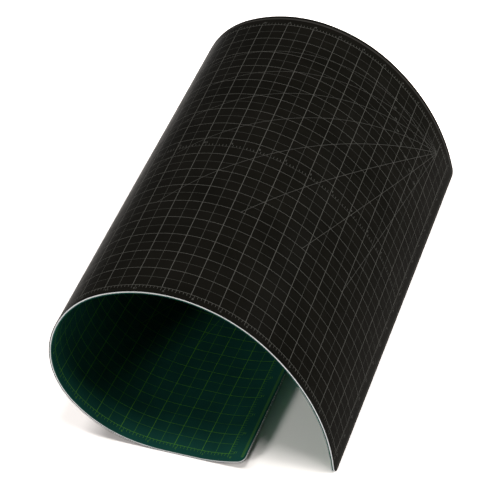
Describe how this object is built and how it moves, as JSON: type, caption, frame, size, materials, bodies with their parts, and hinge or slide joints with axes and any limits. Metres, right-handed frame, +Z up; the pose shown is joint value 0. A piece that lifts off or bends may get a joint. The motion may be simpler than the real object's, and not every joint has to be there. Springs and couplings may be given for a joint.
{
  "type": "self-healing cutting mat",
  "caption": "Self-healing cutting mat of bonded plastic plies, black on one face and green on the other, lying rolled up with one long flap on the table.",
  "frame": {"origin": "centre of the bottom of the rolled mat's box, on the surface that it lies on", "axes": "+Z up, +Y along the roll towards its back end, +X from the bend towards the standing edge"},
  "size_m": [0.2558, 0.4734, 0.167],
  "materials": {
    "black_vinyl": "fine matte grain, satin sheen",
    "white_vinyl": "cut edge, slightly translucent white",
    "green_vinyl": "fine matte grain, satin sheen"
  },
  "bodies": {
    "root": {"black_face_ply": "black_vinyl", "white_core_ply": "white_vinyl", "green_face_ply": "green_vinyl"}
  },
  "joints": []
}
